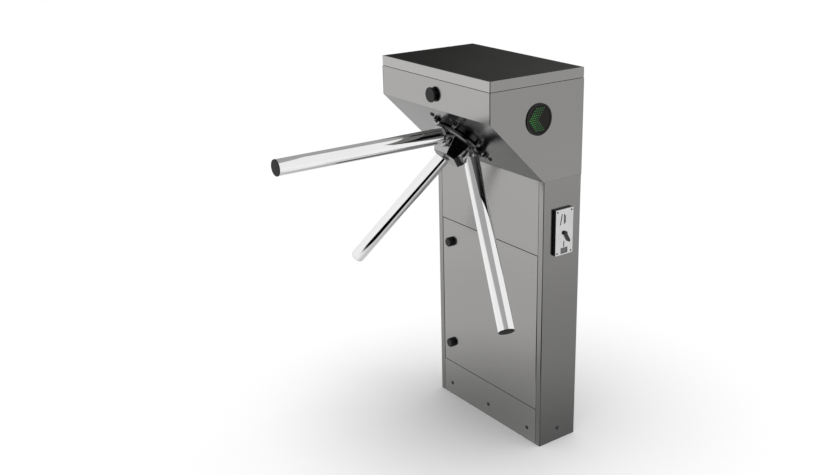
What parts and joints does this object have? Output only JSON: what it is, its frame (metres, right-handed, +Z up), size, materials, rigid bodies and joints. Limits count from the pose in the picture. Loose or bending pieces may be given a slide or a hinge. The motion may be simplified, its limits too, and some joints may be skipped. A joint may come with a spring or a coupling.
{
  "type": "tripod turnstile",
  "caption": "Slim steel tripod turnstile: flat column, deeper head with a slanted face, rotor with chrome arms, opening lid, service door, coin unit and round displays.",
  "frame": {"origin": "centre of the four floor anchors, on the underside of the base plate, at floor level", "axes": "+Z up, +X towards the side with the coin unit, -Y towards the arms and the passage"},
  "size_m": [0.679, 0.7331, 1],
  "materials": {
    "steel": "satin stainless sheet, nearly mirror-like at a shallow angle",
    "chrome": "polished tube",
    "bright_steel": "machined or polished steel",
    "zinc_plate": "zinc-plated steel",
    "black_steel": "blackened steel",
    "base_paint": "grey primer, satin",
    "dark_casting": "polished dark casting",
    "raw_casting": "machined casting",
    "coin_silver": "bright satin plate",
    "black_plastic": "satin black",
    "black_board": "matte black panel",
    "black_gloss": "glossy dark window",
    "green_lamp": "lit green lamps",
    "grey_plastic": "grey housing",
    "board_green": "circuit board"
  },
  "bodies": {
    "cabinet": {"base_plate": "base_paint", "side_frame_left": "steel", "side_frame_right": "steel", "cross_rails": "base_paint", "rear_panel": "steel", "upper_front_panel": "steel", "kick_plate": "steel", "foot_screws": "black_steel", "door_pivot_pins": "zinc_plate", "head_cheek_left": "steel", "head_cheek_right": "steel", "head_front_panel": "steel", "slanted_panel": "steel", "slanted_panel_screws": "black_steel", "head_lock_bush": "black_plastic", "lid_hinge_leaves": "base_paint", "lid_hinge_pins": "bright_steel", "display_rims": "black_plastic", "display_lenses": "black_gloss", "display_lamps": "green_lamp", "coin_unit_body": "black_plastic", "coin_plate": "coin_silver", "coin_plate_screws": "black_steel", "coin_validator": "grey_plastic", "coin_box": "zinc_plate", "hub_flange": "dark_casting", "hub_flange_screws": "bright_steel", "mechanism_plate": "raw_casting", "bearing_housing": "raw_casting", "bearing_outer_rings": "bright_steel", "bearing_balls": "bright_steel", "solenoid_coils": "base_paint", "shaft_damper": "black_plastic", "control_board": "board_green", "power_supply": "grey_plastic"},
    "lid": {"lid_tray": "steel", "lid_top_panel": "black_board", "lid_hinge_flaps": "base_paint"},
    "door": {"service_door": "steel"},
    "knob_upper": {"door_knob_upper": "black_plastic", "door_cam_upper": "zinc_plate"},
    "knob_lower": {"door_knob_lower": "black_plastic", "door_cam_lower": "zinc_plate"},
    "head_lock": {"head_lock_knob": "black_plastic", "head_lock_cam": "zinc_plate"},
    "rotor": {"rotor_hub": "dark_casting", "hub_bolt": "black_steel", "arm_level": "chrome", "arm_left": "chrome", "arm_right": "chrome", "arm_end_caps": "black_plastic", "main_shaft": "bright_steel", "bearing_inner_rings": "bright_steel", "index_disc": "zinc_plate"},
    "lock_pawl_right": {"pawl_right": "zinc_plate"},
    "lock_pawl_left": {"pawl_left": "zinc_plate"},
    "solenoid_core_right": {"plunger_right": "bright_steel"},
    "solenoid_core_left": {"plunger_left": "bright_steel"},
    "coin_lever": {"coin_return_lever": "black_steel"},
    "coin_flap": {"coin_return_flap": "grey_plastic"}
  },
  "joints": [
    {"name": "rotor_spin", "type": "hinge", "parent": "cabinet", "child": "rotor", "pos_m": [0, -0.146, 0.817], "axis": [0, -0.7071, -0.7071], "continuous": true},
    {"name": "lid_hinge", "type": "hinge", "parent": "cabinet", "child": "lid", "pos_m": [0, 0.066, 0.9756], "axis": [-1, 0, 0], "range_deg": [0, 100]},
    {"name": "door_hinge", "type": "hinge", "parent": "cabinet", "child": "door", "pos_m": [0.1942, -0.0573, 0.32], "axis": [0, 0, 1], "range_deg": [0, 90]},
    {"name": "knob_upper_turn", "type": "hinge", "parent": "door", "child": "knob_upper", "pos_m": [-0.1632, -0.062, 0.4742], "axis": [0, -1, 0], "range_deg": [0, 90]},
    {"name": "knob_lower_turn", "type": "hinge", "parent": "door", "child": "knob_lower", "pos_m": [-0.1632, -0.062, 0.1678], "axis": [0, -1, 0], "range_deg": [0, 90]},
    {"name": "head_lock_turn", "type": "hinge", "parent": "cabinet", "child": "head_lock", "pos_m": [0, -0.23, 0.936], "axis": [0, 1, 0], "range_deg": [0, 90]},
    {"name": "pawl_right_turn", "type": "hinge", "parent": "cabinet", "child": "lock_pawl_right", "pos_m": [0.06052, -0.05195, 0.84741], "axis": [0, -0.7071, -0.7071], "range_deg": [0, 10.24], "stiffness_Nm_per_rad": 0.3, "springref_deg": -5.73},
    {"name": "pawl_left_turn", "type": "hinge", "parent": "cabinet", "child": "lock_pawl_left", "pos_m": [-0.06052, -0.05195, 0.84741], "axis": [0, 0.7071, 0.7071], "range_deg": [0, 10.24], "stiffness_Nm_per_rad": 0.3, "springref_deg": -5.73},
    {"name": "plunger_right_slide", "type": "slide", "parent": "cabinet", "child": "solenoid_core_right", "axis": [1, 0, 0], "range_m": [0, 0.0055]},
    {"name": "plunger_left_slide", "type": "slide", "parent": "cabinet", "child": "solenoid_core_left", "axis": [-1, 0, 0], "range_m": [0, 0.0055]},
    {"name": "coin_lever_turn", "type": "hinge", "parent": "cabinet", "child": "coin_lever", "pos_m": [0.2285, 0.00116, 0.5929], "axis": [1, 0, 0], "range_deg": [0, 25], "stiffness_Nm_per_rad": 0.03, "springref_deg": -8.59},
    {"name": "coin_flap_turn", "type": "hinge", "parent": "cabinet", "child": "coin_flap", "pos_m": [0.2264, 0, 0.5527], "axis": [0, 1, 0], "range_deg": [0, 28]}
  ],
  "couplings": [
    {"joint": "plunger_right_slide", "follows": "pawl_right_turn", "m_per_rad": 0.03},
    {"joint": "plunger_left_slide", "follows": "pawl_left_turn", "m_per_rad": 0.03}
  ]
}
